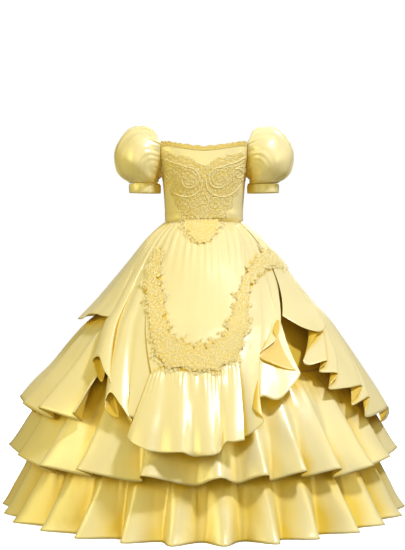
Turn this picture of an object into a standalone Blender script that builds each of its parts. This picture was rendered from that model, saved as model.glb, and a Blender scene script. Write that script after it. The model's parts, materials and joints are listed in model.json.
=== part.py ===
"""Flower girl dress: fitted lace bodice, puff sleeves and a tiered ball skirt.

Metres, +Z up. The origin is the middle of the waist seam. Heights in the tables
are above the floor that the hem touches. The front faces -Y, and angles run round
the skirt in degrees from the centre front, positive towards +X.
"""
import math

import bpy
import numpy as np

# Driving sizes in metres
WAIST_HEIGHT = 0.6955
WALL = 0.0015
TRIM_WALL = 0.0011
SEAM_GAP = 0.0004
ARMHOLE_GAP = 0.0010
WAIST_DROP = 0.0014
GATHER_DEPTH = 0.0028
GATHER_DEG = 7.2
EDGE_FLAT_DEG = 5.0
APRON_EASE = 0.0033
APRON_HEM_EASE = 0.0062
SIDE_PANEL_EASE = 0.0026

# Places round and up the skirt
LOWER_SEAM = 0.200
MIDDLE_SEAM = 0.350
UPPER_SEAM = 0.480
LOWER_HEM = 0.0
MIDDLE_HEM = 0.134
UPPER_HEM = 0.252

# Colours as linear red, green, blue
SATIN = (0.86, 0.72, 0.28, 1.0)
LACE = (0.90, 0.80, 0.45, 1.0)

# Mean radius of each layer: height above the floor, radius
BASE_RADIUS = ((0.180, 0.400), (0.200, 0.3915), (0.250, 0.374), (0.300, 0.352), (0.350, 0.326),
               (0.400, 0.297), (0.450, 0.265), (0.500, 0.232), (0.550, 0.199), (0.606, 0.160),
               (0.640, 0.134), (0.670, 0.111), (0.6955, 0.0915))
LOWER_RADIUS = ((0.000, 0.476), (0.060, 0.450), (0.120, 0.425), (0.160, 0.4095), (0.200, 0.3942))
MIDDLE_RADIUS = ((0.110, 0.468), (0.134, 0.460), (0.160, 0.449), (0.200, 0.4295), (0.250, 0.403),
                 (0.300, 0.372), (0.330, 0.347), (0.350, 0.3280))
UPPER_RADIUS = ((0.230, 0.441), (0.252, 0.433), (0.300, 0.404), (0.354, 0.360), (0.416, 0.316),
                (0.450, 0.2855), (0.480, 0.2480))
OVER_RADIUS = ((0.200, 0.449), (0.250, 0.428), (0.292, 0.405), (0.354, 0.368), (0.416, 0.328),
               (0.456, 0.301), (0.500, 0.262), (0.550, 0.222), (0.606, 0.179), (0.640, 0.151),
               (0.663, 0.130), (0.680, 0.1115), (0.6955, 0.0936))
# Depth of the ring over its width: height above the floor, ratio
RING_DEPTH = ((0.000, 1.0), (0.450, 1.0), (0.520, 0.985), (0.600, 0.94), (0.660, 0.87),
              (0.6955, 0.80))

# Flutes that the front shows on each tier: crest angle, depth (1 is the tier's own)
LOWER_FLUTES = ((-84, 1.0), (-70, 0.8), (-57, 1.1), (-44, 0.8), (-31, 1.1), (-19, 0.8), (-7, 1.0),
                (5, 0.9), (17, 1.1), (29, 0.8), (41, 1.1), (54, 0.9), (67, 1.0), (80, 0.8))
MIDDLE_FLUTES = ((-80, 1.0), (-62, 0.8), (-46, 1.1), (-31, 1.0), (-13, 1.2), (4, 0.8), (15, 0.8),
                 (26, 1.1), (37, 0.9), (49, 1.1), (62, 0.9), (76, 1.0))
UPPER_FLUTES = ((-85, 1.1), (-69, 0.9), (-53, 1.2), (-38, 0.9))

# Tier shape: flute depth and hem lift in metres, lean as a share of a flute
TIER_SHAPE = {
    "lower_tier": {"depth": 0.019, "lift": 0.0, "lean": 0.10},
    "middle_tier": {"depth": 0.019, "lift": 0.010, "lean": 0.16},
    "upper_tier": {"depth": 0.019, "lift": 0.012, "lean": 0.16},
}
BACK_FLUTES = 12
COLUMNS_PER_FLUTE = 4

# Panels that hang from the waist, a row for each fold line, left to right: angle at the
# waist, angle half way down, angle and height at the hem, stand-off there in mm
LEFT_FOLDS = (
    (-94, -94, -92, 0.456, 9), (-88, -86, -80, 0.458, 13), (-82, -79, -72, 0.461, 10),
    (-76, -71, -65, 0.474, 14), (-71, -64, -55, 0.473, 12), (-67, -58, -43, 0.456, 8),
    (-64, -55, -36, 0.335, 8), (-61, -53, -43, 0.373, 16), (-58, -50, -40, 0.386, 25),
    (-56, -47, -35, 0.360, 28), (-54, -45, -31, 0.333, 22), (-52, -43, -26, 0.262, 6),
    (-50, -41, -31, 0.279, 14), (-48, -39, -30, 0.314, 24), (-46, -36, -25, 0.285, 20),
    (-44, -33, -21, 0.248, 4), (-42, -30, -23, 0.264, 10), (-40, -27, -18, 0.262, 5),
    (-38, -24.5, -13, 0.262, 0))
RIGHT_FRONT_FOLDS = (
    (44, 13, 5, 0.232, 0), (47, 17, 8, 0.227, 3), (50, 20, 11, 0.226, 11),
    (52, 23, 14.5, 0.244, 22), (54, 26, 16.5, 0.262, 30), (55, 28, 15, 0.278, 27),
    (56, 29, 14.3, 0.288, 18), (57, 30, 16, 0.300, 10), (58, 32, 19, 0.307, 6),
    (59, 34, 23, 0.300, 14), (60, 37, 28, 0.325, 24), (61, 39, 33, 0.355, 28),
    (62, 40, 29, 0.362, 21), (63, 41, 24, 0.376, 12), (64, 43, 20.5, 0.388, 6),
    (65, 46, 22.5, 0.404, 11), (66, 50, 28.5, 0.426, 17), (67, 53, 29.5, 0.447, 11),
    (68, 57, 36, 0.478, 3))
RIGHT_FOLDS = (
    (64, 55, 37.5, 0.476, 10), (67, 59, 44, 0.449, 20), (70, 63, 52, 0.438, 26),
    (73, 66, 58, 0.449, 28), (76, 66, 48, 0.424, 16), (78, 64, 39, 0.381, 5),
    (80, 66, 40, 0.367, 8), (82, 69, 47, 0.375, 25), (84, 68, 44, 0.351, 5),
    (86, 72, 50, 0.345, 24), (88, 71, 45, 0.314, 5), (90, 75, 53, 0.311, 14),
    (92, 79, 61, 0.310, 24), (94, 77, 53, 0.272, 5), (96, 82, 62, 0.285, 24),
    (98, 81, 58, 0.242, 5), (101, 88, 78, 0.247, 22), (104, 87, 69, 0.220, 6),
    (107, 97, 91, 0.236, 20), (110, 104, 101, 0.226, 7), (113, 111, 109, 0.238, 14))
APRON_FOLDS = (
    (-44, -31, -18, 0.352, 0), (-33, -23.5, -13, 0.364, 0), (-22, -16, -8.5, 0.360, 0),
    (-11, -8.5, -3.5, 0.356, 0), (1, 0, 1.5, 0.358, 0), (14, 8.5, 6, 0.366, 0),
    (30, 16.5, 9.5, 0.380, 0), (48, 24, 12.5, 0.396, 0))
# Ruffle below the apron: seam angle and height, hem angle and height, stand-off in mm
RUFFLE_FOLDS = (
    (-18.5, 0.351, -21.5, 0.223, 10), (-17, 0.356, -19.0, 0.214, 22),
    (-14.5, 0.362, -15.0, 0.203, 27), (-12, 0.362, -11.8, 0.196, 16),
    (-9, 0.359, -8.2, 0.198, 25), (-6, 0.357, -5.5, 0.199, 26),
    (-3.5, 0.356, -3.2, 0.189, 13), (-1, 0.356, -0.5, 0.191, 23),
    (2, 0.3585, 2.3, 0.193, 25), (5, 0.3635, 4.2, 0.199, 12),
    (7.5, 0.371, 5.6, 0.219, 22), (10, 0.382, 8.0, 0.221, 27), (12.5, 0.395, 10.5, 0.223, 25))

# Lace band round the apron and over the hip: angle and height of its middle line, width
LACE_PATH = ((-38, 0.627, 0.024), (-35, 0.580, 0.028), (-31, 0.546, 0.032), (-25.5, 0.513, 0.035),
             (-21.5, 0.473, 0.036), (-18, 0.443, 0.040), (-14.5, 0.416, 0.050), (-10.5, 0.400, 0.058),
             (-6, 0.392, 0.062), (-1.5, 0.389, 0.064), (3, 0.392, 0.062), (7.5, 0.405, 0.056),
             (11, 0.427, 0.046), (14, 0.458, 0.038), (17, 0.490, 0.034), (21, 0.524, 0.031),
             (27.5, 0.558, 0.028), (38, 0.585, 0.026), (51, 0.603, 0.024), (64, 0.609, 0.024),
             (76, 0.600, 0.024), (86, 0.585, 0.022))
# Lace tip over the waist seam: height and radius, then height and angle to each side of its middle
WAIST_LACE_RADIUS = ((0.645, 0.1574), (0.656, 0.1470), (0.668, 0.1345), (0.680, 0.1215),
                     (0.692, 0.1070), (0.7005, 0.0982))
WAIST_LACE_EDGE = ((0.7005, 27), (0.692, 26), (0.680, 22), (0.668, 16), (0.656, 10), (0.645, 4))
WAIST_LACE_MIDDLE = -2.5
# Lace on the bodice: height, angle of its edge from centre front
BODICE_LACE_EDGE = ((0.7035, 28), (0.728, 40), (0.752, 44), (0.7765, 52), (0.803, 60), (0.832, 59),
                    (0.855, 48), (0.868, 41))

# Bodice rings: height, half width, half depth in front, half depth behind
BODICE_RINGS = ((0.6955, 0.0955, 0.0765, 0.0765), (0.720, 0.0950, 0.0780, 0.0755),
                (0.760, 0.0975, 0.0820, 0.0760), (0.800, 0.1015, 0.0880, 0.0780),
                (0.830, 0.1075, 0.0890, 0.0790), (0.860, 0.1170, 0.0850, 0.0790),
                (0.890, 0.1260, 0.0790, 0.0780))
# Squareness of the ring: height, power (1 is an ellipse)
BODICE_POWER = ((0.6955, 1.0), (0.760, 0.92), (0.830, 0.78), (0.890, 0.66))
# Top edge of the bodice: angle from centre front, height
NECK_EDGE = ((0, 0.8745), (12, 0.8785), (26, 0.8835), (40, 0.8865), (49, 0.8840), (58, 0.8610),
             (70, 0.8270), (80, 0.8105), (90, 0.8060), (100, 0.8105), (110, 0.8270), (121, 0.8600),
             (131, 0.8850), (150, 0.8830), (180, 0.8810))
CORNER_FRONT_DEG = 49.0
CORNER_BACK_DEG = 131.0
SHOULDER_X = 0.1235
SHOULDER_HEIGHT = 0.9245

# Sleeve rings after the armhole: outer x and height, inner x and height, half depth, gather
SLEEVE_RINGS = ((0.150, 0.9305, 0.1125, 0.8000, 0.074, 0.0026),
                (0.190, 0.9180, 0.1130, 0.7960, 0.080, 0.0012),
                (0.2190, 0.8700, 0.1128, 0.7930, 0.078, 0.0004),
                (0.2130, 0.8200, 0.1115, 0.7905, 0.062, 0.0022),
                (0.1835, 0.7920, 0.1078, 0.7885, 0.0385, 0.0024))
SLEEVE_GATHERS = 12
SLEEVE_COLUMNS = 36
CUFF_CENTRE_X = 0.1455
CUFF_RADIUS = 0.0375
CUFF_TOP = 0.7890
CUFF_BOTTOM = 0.7674


def curve_at(rows, x):
    """Smooth curve through rows of (place, value), read at x."""
    places = np.array([row[0] for row in rows], float)
    values = np.array([row[1] for row in rows], float)
    slopes = np.gradient(values, places)
    x = np.clip(np.asarray(x, float), places[0], places[-1])
    i = np.clip(np.searchsorted(places, x) - 1, 0, len(places) - 2)
    span = places[i + 1] - places[i]
    t = (x - places[i]) / span
    keep = (2 * t ** 3 - 3 * t ** 2 + 1) * values[i] + (-2 * t ** 3 + 3 * t ** 2) * values[i + 1]
    lean = (t ** 3 - 2 * t ** 2 + t) * slopes[i] + (t ** 3 - t ** 2) * slopes[i + 1]
    return keep + lean * span


def column_of(rows, number):
    """One column of a table, with its row numbers."""
    return [(i, row[number]) for i, row in enumerate(rows)]


def place(radius, degrees, height):
    """Points on the skirt from radius, angle and height above the floor."""
    angle = np.radians(degrees)
    x = radius * np.sin(angle)
    y = -radius * curve_at(RING_DEPTH, height) * np.cos(angle)
    return np.stack([x, y, height - WAIST_HEIGHT + 0 * x], axis=-1)


def satin_material(name, colour, roughness):
    material = bpy.data.materials.new(name)
    material.use_nodes = True
    shader = material.node_tree.nodes["Principled BSDF"]
    shader.inputs["Base Color"].default_value = colour
    shader.inputs["Roughness"].default_value = roughness
    shader.inputs["Metallic"].default_value = 0.0
    material.diffuse_color = colour
    return material


def cloth(name, points, closed=False, wall=WALL, colour=SATIN, roughness=0.35):
    """A wall of cloth on a grid of points: columns left to right, rows top to bottom."""
    columns, rows = points.shape[:2]
    faces = []
    for i in range(columns if closed else columns - 1):
        after = (i + 1) % columns
        for j in range(rows - 1):
            faces.append((i * rows + j, i * rows + j + 1, after * rows + j + 1, after * rows + j))
    mesh = bpy.data.meshes.new(name)
    mesh.from_pydata([tuple(p) for p in points.reshape(-1, 3)], [], faces)
    mesh.update()
    piece = bpy.data.objects.new(name, mesh)
    dress.objects.link(piece)
    piece.data.materials.append(satin_material(name, colour, roughness))
    solid = piece.modifiers.new("Wall", "SOLIDIFY")
    solid.thickness = wall
    solid.offset = 1.0
    mesh.shade_smooth()
    return piece


def all_flutes(front, back_count, back_start=90.0, back_end=270.0):
    """The front's flutes and evenly spaced ones behind, in order of angle."""
    step = (back_end - back_start) / back_count
    behind = [(back_start + step * (i + 0.5), 0.9 + 0.15 * math.sin(2.4 * i)) for i in range(back_count)]
    return list(front) + behind


def tier_grid(flutes, shape, radius_rows, seam, hem, rows, closed=True, power=1.25):
    """Grid of a gathered tier: flutes grow from the seam to a leaning, lifted hem."""
    count = len(flutes)
    crests = [(i, flute[0]) for i, flute in enumerate(flutes)]
    depths = [(i, flute[1]) for i, flute in enumerate(flutes)]
    if closed:
        crests = [(-1, flutes[-1][0] - 360)] + crests + [(count, flutes[0][0] + 360)]
        depths = [(-1, flutes[-1][1])] + depths + [(count, flutes[0][1])]
        phase = np.arange(count * COLUMNS_PER_FLUTE) / COLUMNS_PER_FLUTE
    else:
        phase = np.linspace(0, count - 1, (count - 1) * COLUMNS_PER_FLUTE + 1)
    phase = phase[:, None]
    down = np.linspace(0, 1, rows)[None, :]
    degrees = curve_at(crests, phase)
    spacing = np.abs(curve_at(crests, np.minimum(phase + 0.5, crests[-1][0])) - degrees) * 2
    spacing = np.clip(spacing, 8, 20)
    side = np.sin(np.radians(degrees))
    wave = np.cos(2 * math.pi * phase)
    grown = down ** power
    depth = shape["depth"] * curve_at(depths, phase) * grown
    degrees = degrees + shape["lean"] * side * spacing * wave * grown
    height = seam + (hem + shape["lift"] * wave - seam) * down
    return place(curve_at(radius_rows, height) + depth * wave, degrees, height)


def fold_values(folds, samples):
    """Every column of a fold table, drawn as smooth curves across the panel."""
    across = np.linspace(0, len(folds) - 1, (len(folds) - 1) * samples + 1)
    return [curve_at(column_of(folds, n), across)[:, None] for n in range(len(folds[0]))]


def through(top, middle, bottom, down):
    """A smooth run through three values, half of the way down at the middle one."""
    return (top * (1 - down) * (1 - 2 * down) + middle * 4 * down * (1 - down)
            + bottom * down * (2 * down - 1))


def gather_swell(down):
    """How far the waist gathers stand out, from the seam to the hem."""
    return np.exp(-((down - 0.16) / 0.16) ** 2) + 0.4 * down * (1 - down)


def panel_grid(folds, samples, rows, ease=0.0, hem_ease=0.0, stand_power=2.2):
    """Grid of a panel from the waist to its folded hem, with gathers at the waist."""
    waist, mid_deg, hem_deg, hem_height, stand = fold_values(folds, samples)
    down = np.linspace(0, 1, rows)[None, :] ** 0.9
    top = WAIST_HEIGHT - WAIST_DROP
    degrees = through(waist, mid_deg, hem_deg, down)
    height = top + (hem_height - top) * down
    flat_edge = np.clip(np.minimum(waist - waist[0], waist[-1] - waist) / EDGE_FLAT_DEG, 0, 1)
    puff = GATHER_DEPTH * 0.5 * (1 - np.cos(np.radians(waist) * 360 / GATHER_DEG)) * flat_edge
    radius = curve_at(OVER_RADIUS, height) + ease + (hem_ease - ease) * down
    radius = radius + puff * gather_swell(down) + stand * 0.001 * down ** stand_power
    return place(radius, degrees, height)


def bodice_point(degrees, height, out=0.0):
    """Points on the bodice from angle and height, moved out by a distance."""
    half_width = curve_at([(r[0], r[1]) for r in BODICE_RINGS], height) + out
    front = curve_at([(r[0], r[2]) for r in BODICE_RINGS], height) + out
    back = curve_at([(r[0], r[3]) for r in BODICE_RINGS], height) + out
    power = curve_at(BODICE_POWER, height)
    angle = np.radians(degrees)
    sine, cosine = np.sin(angle), np.cos(angle)
    x = half_width * np.sign(sine) * np.abs(sine) ** power
    depth = np.where(cosine >= 0, front, back)
    y = -depth * np.sign(cosine) * np.abs(cosine) ** power
    return np.stack([x, y, height - WAIST_HEIGHT + 0 * x], axis=-1)


def bodice_grid(start, end, columns, rows):
    degrees = np.linspace(start, end, columns)[:, None]
    top = curve_at(NECK_EDGE, np.abs((degrees + 180) % 360 - 180))
    up = np.linspace(1, 0, rows)[None, :]
    height = WAIST_HEIGHT + SEAM_GAP + (top - WAIST_HEIGHT - SEAM_GAP) * up
    return bodice_point(degrees + 0 * up, height)


def build_bodice():
    side_gap = 0.25
    cloth("bodice_front", bodice_grid(-90 + side_gap, 90 - side_gap, 27, 7))
    cloth("bodice_back_right", bodice_grid(90 + side_gap, 180 - side_gap / 2, 13, 6))
    cloth("bodice_back_left", bodice_grid(180 + side_gap / 2, 270 - side_gap, 13, 6))


def build_bodice_lace():
    """Applique on the front: wide at the bust, drawn in to the waist, with a scalloped edge."""
    rows = 12
    across = np.linspace(-1, 1, 21)[:, None]
    height = np.linspace(BODICE_LACE_EDGE[-1][0], BODICE_LACE_EDGE[0][0], rows)[None, :]
    scallop = 1 + 0.03 * np.cos(math.pi * np.arange(rows))[None, :]
    degrees = across * curve_at(BODICE_LACE_EDGE, height) * scallop
    points = bodice_point(degrees, height + 0 * across, WALL + 0.0008)
    cloth("bodice_lace", points, wall=TRIM_WALL, colour=LACE, roughness=0.6)
    columns = 25
    degrees = np.linspace(-48, 48, columns)[:, None]
    edge = curve_at(NECK_EDGE, np.abs(degrees))
    rise = 0.0020 + 0.0028 * np.cos(math.pi * np.arange(columns) / 2)[:, None] ** 2
    height = np.concatenate([edge + rise, edge - 0.004, edge - 0.0085 + 0.5 * rise], axis=1)
    height = np.minimum(height, 0.8900)
    clear = np.minimum(1.0, (48 - np.abs(degrees)) / 6) * 0.0006
    points = bodice_point(degrees + 0 * height, height, WALL + 2.2 * TRIM_WALL + clear)
    cloth("neck_lace", points, wall=TRIM_WALL, colour=LACE, roughness=0.6)


def armhole_loop(around):
    """The sleeve's top edge on the +X side: armhole seam below, free neck edge above.

    around is 0 at the shoulder, 90 at the front, 180 under the arm and 270 at the back.
    """
    corner = 62.0
    points = np.zeros((len(around), 3))
    for i, place_round in enumerate(around):
        folded = place_round if place_round <= 180 else 360 - place_round
        front = place_round <= 180
        if folded >= corner:
            share = (folded - corner) / (180 - corner)
            end = CORNER_FRONT_DEG if front else CORNER_BACK_DEG
            degrees = np.array(end + (90 - end) * share)
            height = curve_at(NECK_EDGE, degrees)
            point = bodice_point(degrees, height, WALL + ARMHOLE_GAP)
            point[2] += SEAM_GAP
        else:
            end = CORNER_FRONT_DEG if front else CORNER_BACK_DEG
            foot = bodice_point(np.array(end), curve_at(NECK_EDGE, end), WALL + ARMHOLE_GAP)
            share = math.cos(math.radians(90 * folded / corner))
            point = foot.copy()
            point[0] += (SHOULDER_X - foot[0]) * share
            point[1] *= math.sin(math.radians(90 * folded / corner))
            point[2] += (SHOULDER_HEIGHT - WAIST_HEIGHT - foot[2]) * share + SEAM_GAP
        points[i] = point
    return points


def build_sleeve(side, name):
    """Puff sleeve and its band; side is 1 for +X and -1 for -X."""
    around = np.arange(SLEEVE_COLUMNS) * 360.0 / SLEEVE_COLUMNS
    rings = [armhole_loop(around)]
    turn = np.radians(around)
    for out_x, out_height, in_x, in_height, half_depth, gather in SLEEVE_RINGS:
        outer = np.array([out_x, 0.0, out_height - WAIST_HEIGHT])
        inner = np.array([in_x, 0.0, in_height - WAIST_HEIGHT])
        centre, arm = (outer + inner) / 2, (outer - inner) / 2
        wave = gather * np.cos(SLEEVE_GATHERS * turn) * (1 + np.cos(turn)) / 2
        size = 1 + wave / np.linalg.norm(arm)
        ring = centre + np.outer(np.cos(turn) * size, arm)
        ring[:, 1] -= half_depth * np.sin(turn) * size
        rings.append(ring)
    grid = np.stack(rings, axis=1)
    grid[:, :, 0] *= side
    if side > 0:
        grid = grid[::-1]
    cloth("sleeve_" + name, grid, closed=True)
    turn = np.radians(np.arange(24) * 360.0 / 24)
    band = np.zeros((24, 2, 3))
    for row, height in enumerate((CUFF_TOP, CUFF_BOTTOM)):
        band[:, row, 0] = side * (CUFF_CENTRE_X + 0.0004 + CUFF_RADIUS * np.cos(turn))
        band[:, row, 1] = -CUFF_RADIUS * np.sin(turn)
        band[:, row, 2] = height - WAIST_HEIGHT - 0.0017 * (1 - np.cos(turn)) / 2
    cloth("cuff_" + name, band[::-1] if side > 0 else band, closed=True)


def build_skirt():
    degrees = np.arange(40)[:, None] * 360.0 / 40
    height = np.linspace(WAIST_HEIGHT - WAIST_DROP, LOWER_SEAM - 0.006, 8)[None, :] + 0 * degrees
    cloth("base_skirt", place(curve_at(BASE_RADIUS, height), degrees, height), closed=True)

    flutes = all_flutes(LOWER_FLUTES, BACK_FLUTES)
    shape = TIER_SHAPE["lower_tier"]
    cloth("lower_tier", tier_grid(flutes, shape, LOWER_RADIUS, LOWER_SEAM, LOWER_HEM, 5), closed=True)

    flutes = all_flutes(MIDDLE_FLUTES, BACK_FLUTES)
    shape = TIER_SHAPE["middle_tier"]
    cloth("middle_tier", tier_grid(flutes, shape, MIDDLE_RADIUS, MIDDLE_SEAM, MIDDLE_HEM, 6), closed=True)

    behind = [(-245 + 15.3 * i, 0.9 + 0.15 * math.sin(1.7 * i)) for i in range(10)]
    flutes = behind + list(UPPER_FLUTES)
    shape = TIER_SHAPE["upper_tier"]
    cloth("upper_tier", tier_grid(flutes, shape, UPPER_RADIUS, UPPER_SEAM, UPPER_HEM, 6, closed=False))


def build_overskirt():
    behind = [(deg, deg, deg, 0.456, 6 + 5 * math.cos(i * math.pi))
              for i, deg in enumerate(np.linspace(-246, -102, 13))]
    cloth("overskirt_left", panel_grid(behind + list(LEFT_FOLDS), 2, 7))
    cloth("overskirt_right_front", panel_grid(RIGHT_FRONT_FOLDS, 2, 7, stand_power=2.8))
    cloth("overskirt_right", panel_grid(RIGHT_FOLDS, 2, 7, SIDE_PANEL_EASE, SIDE_PANEL_EASE))
    cloth("apron", panel_grid(APRON_FOLDS, 3, 8, APRON_EASE, APRON_HEM_EASE))


def build_ruffle():
    seam_deg, seam_height, hem_deg, hem_height, stand = fold_values(RUFFLE_FOLDS, 2)
    down = np.linspace(0, 1, 6)[None, :]
    degrees = seam_deg + (hem_deg - seam_deg) * down
    seam_height = seam_height + 0.004
    height = seam_height + (hem_height - seam_height) * down
    seated = APRON_HEM_EASE + WALL + 2 * SEAM_GAP
    radius = curve_at(OVER_RADIUS, height) + seated + stand * 0.001 * down ** 1.1
    cloth("front_ruffle", place(radius, degrees, height))


def build_skirt_lace():
    """Scalloped band over the apron's seams and on over the hip, and the tip at the waist."""
    count = 56
    along = np.linspace(0, len(LACE_PATH) - 1, count)
    middle_deg = curve_at(column_of(LACE_PATH, 0), along)
    middle_height = curve_at(column_of(LACE_PATH, 1), along)
    arc = np.radians(middle_deg) * curve_at(OVER_RADIUS, middle_height)
    step_arc, step_up = np.gradient(arc), np.gradient(middle_height)
    size = np.hypot(step_arc, step_up)
    band = curve_at(column_of(LACE_PATH, 2), along)
    edge = band / 2 * (1 + 0.08 * np.cos(math.pi * np.arange(count)))
    across = np.array([1.0, 0.0, -1.0])[None, :] * edge[:, None]
    turn = across * (-step_up / size)[:, None] / curve_at(OVER_RADIUS, middle_height)[:, None]
    degrees = middle_deg[:, None] + np.degrees(turn)
    height = middle_height[:, None] + 0.75 * across * (step_arc / size)[:, None]
    down = (WAIST_HEIGHT - height) / (WAIST_HEIGHT - 0.37)
    ease = APRON_EASE + (APRON_HEM_EASE - APRON_EASE) * np.clip(down, 0, 1)
    lift = 2 * WALL + 5 * SEAM_GAP + GATHER_DEPTH * gather_swell(np.clip(down, 0, 1))
    radius = curve_at(OVER_RADIUS, height) + ease + lift
    cloth("apron_lace", place(radius, degrees, height), wall=TRIM_WALL, colour=LACE, roughness=0.6)

    height = np.array([row[0] for row in WAIST_LACE_EDGE])[None, :]
    narrow = np.array([row[1] for row in WAIST_LACE_EDGE])[None, :]
    degrees = np.linspace(-1, 1, 11)[:, None] * narrow + WAIST_LACE_MIDDLE
    radius = curve_at(WAIST_LACE_RADIUS, height) + 0 * degrees
    cloth("waist_lace", place(radius, degrees, height), wall=TRIM_WALL, colour=LACE, roughness=0.6)


def remove_everything():
    for item in list(bpy.data.objects):
        bpy.data.objects.remove(item, do_unlink=True)


remove_everything()
dress = bpy.data.collections.new("flower_girl_dress")
bpy.context.scene.collection.children.link(dress)
build_bodice()
build_bodice_lace()
build_sleeve(1, "right")
build_sleeve(-1, "left")
build_skirt()
build_overskirt()
build_ruffle()
build_skirt_lace()
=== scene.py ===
"""Flower girl dress in glossy yellow satin: fine cloth, gathers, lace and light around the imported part."""
import json
import math

import bmesh
import bpy
import numpy as np
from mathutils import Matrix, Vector
from mathutils.bvhtree import BVHTree

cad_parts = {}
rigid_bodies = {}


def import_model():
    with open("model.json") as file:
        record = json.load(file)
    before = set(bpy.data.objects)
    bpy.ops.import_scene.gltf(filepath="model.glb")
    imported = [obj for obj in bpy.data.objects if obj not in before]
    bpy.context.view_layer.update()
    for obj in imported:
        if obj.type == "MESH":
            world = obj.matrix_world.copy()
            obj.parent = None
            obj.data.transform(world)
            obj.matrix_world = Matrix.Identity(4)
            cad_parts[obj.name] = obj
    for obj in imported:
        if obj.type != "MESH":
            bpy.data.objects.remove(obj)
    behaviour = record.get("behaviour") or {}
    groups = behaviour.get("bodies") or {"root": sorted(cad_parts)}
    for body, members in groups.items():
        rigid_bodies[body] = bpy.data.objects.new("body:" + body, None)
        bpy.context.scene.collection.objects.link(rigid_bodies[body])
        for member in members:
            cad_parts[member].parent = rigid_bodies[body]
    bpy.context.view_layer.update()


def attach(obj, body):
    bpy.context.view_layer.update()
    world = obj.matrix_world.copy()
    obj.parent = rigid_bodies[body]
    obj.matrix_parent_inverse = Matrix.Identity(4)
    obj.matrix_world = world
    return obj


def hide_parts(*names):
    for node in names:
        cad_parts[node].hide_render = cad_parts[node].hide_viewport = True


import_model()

# Skirt foundation
# A plain A-line underskirt of the same satin that every tier is sewn to. It shows only in the
# open diamond between the two overskirt edges, with one long crease across it.
WAIST = 0.6955
RING_DEPTH = ((0.000, 1.0), (0.450, 1.0), (0.520, 0.985), (0.600, 0.94), (0.660, 0.87),
              (0.6955, 0.80))
FOUNDATION_RADIUS = ((0.180, 0.400), (0.200, 0.3915), (0.250, 0.374), (0.300, 0.352),
                     (0.350, 0.326), (0.400, 0.297), (0.450, 0.265), (0.500, 0.232),
                     (0.550, 0.199), (0.606, 0.160), (0.640, 0.134), (0.670, 0.111),
                     (0.6955, 0.0915))


def through_rows(rows, x):
    """Smooth curve through rows of (place, value), read at x."""
    places = np.array([row[0] for row in rows], float)
    values = np.array([row[1] for row in rows], float)
    slopes = np.gradient(values, places)
    x = np.clip(np.asarray(x, float), places[0], places[-1])
    i = np.clip(np.searchsorted(places, x) - 1, 0, len(places) - 2)
    span = places[i + 1] - places[i]
    t = (x - places[i]) / span
    keep = (2 * t ** 3 - 3 * t ** 2 + 1) * values[i] + (-2 * t ** 3 + 3 * t ** 2) * values[i + 1]
    lean = (t ** 3 - 2 * t ** 2 + t) * slopes[i] + (t ** 3 - t ** 2) * slopes[i + 1]
    return keep + lean * span


def on_skirt(radius, degrees, height):
    """Points round the skirt from radius, angle and height above the floor."""
    angle = np.radians(degrees)
    x = radius * np.sin(angle)
    y = -radius * through_rows(RING_DEPTH, height) * np.cos(angle)
    return np.stack([x, y, height - WAIST + 0 * x], axis=-1)


def crumple(across, along, size, seed, count=14):
    """Soft uneven folds, -1 to 1: a sum of slanting waves about size long, drawn from a seed."""
    chance = np.random.default_rng(seed)
    total = 0 * (across + along)
    for _ in range(count):
        turn = chance.uniform(0, 2 * math.pi)
        wave = 2 * math.pi / (size * chance.uniform(0.6, 1.8))
        shift = chance.uniform(0, 2 * math.pi)
        total = total + np.sin(wave * (across * math.cos(turn) + along * math.sin(turn)) + shift)
    return total / math.sqrt(count)


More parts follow.
